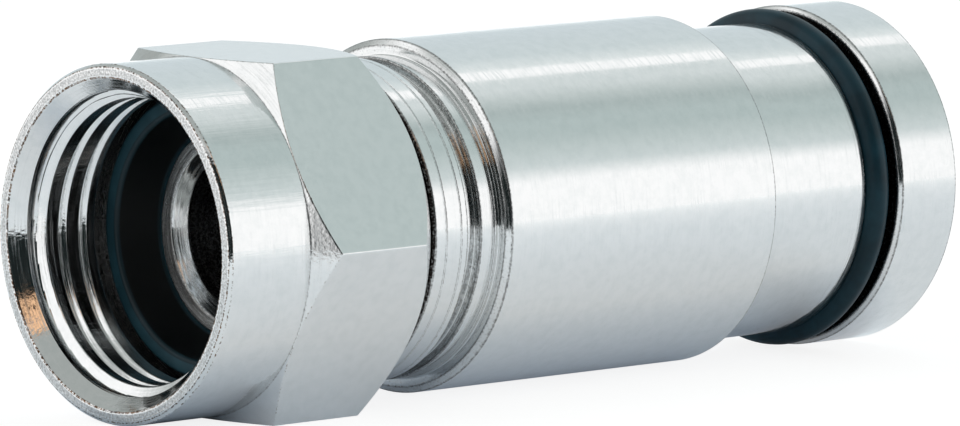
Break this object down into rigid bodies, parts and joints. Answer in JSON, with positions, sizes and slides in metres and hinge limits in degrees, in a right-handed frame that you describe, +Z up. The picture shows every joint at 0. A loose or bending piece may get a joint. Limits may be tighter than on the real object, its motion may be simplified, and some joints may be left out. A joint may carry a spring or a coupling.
{
  "type": "f connector",
  "caption": "Hollow coaxial plug: hex nut that turns freely, grooved body, and a flanged sleeve with a rubber ring that is pressed in to grip the cable.",
  "frame": {"origin": "on the ground under the middle of the length, with the connector lying on a flat of its nut", "axes": "+X along the axis from the mouth of the nut to the cable end, +Z up"},
  "size_m": [0.0304, 0.0128, 0.011],
  "materials": {
    "nickel_plated_brass": "turned brass with bright nickel plating",
    "black_rubber": "moulded nitrile rubber",
    "acetal": "moulded natural acetal"
  },
  "bodies": {
    "body": {"body": "nickel_plated_brass", "post": "nickel_plated_brass", "front_seal": "black_rubber", "swivel_seal": "black_rubber"},
    "nut": {"nut": "nickel_plated_brass"},
    "sleeve": {"compression_sleeve": "nickel_plated_brass", "rear_o_ring": "black_rubber", "grip_ferrule": "acetal"}
  },
  "joints": [
    {"name": "nut_swivel", "type": "hinge", "parent": "body", "child": "nut", "pos_m": [0, 0, 0.0055], "axis": [1, 0, 0], "continuous": true},
    {"name": "sleeve_press", "type": "slide", "parent": "body", "child": "sleeve", "axis": [-1, 0, 0], "range_m": [0, 0.0043]}
  ]
}
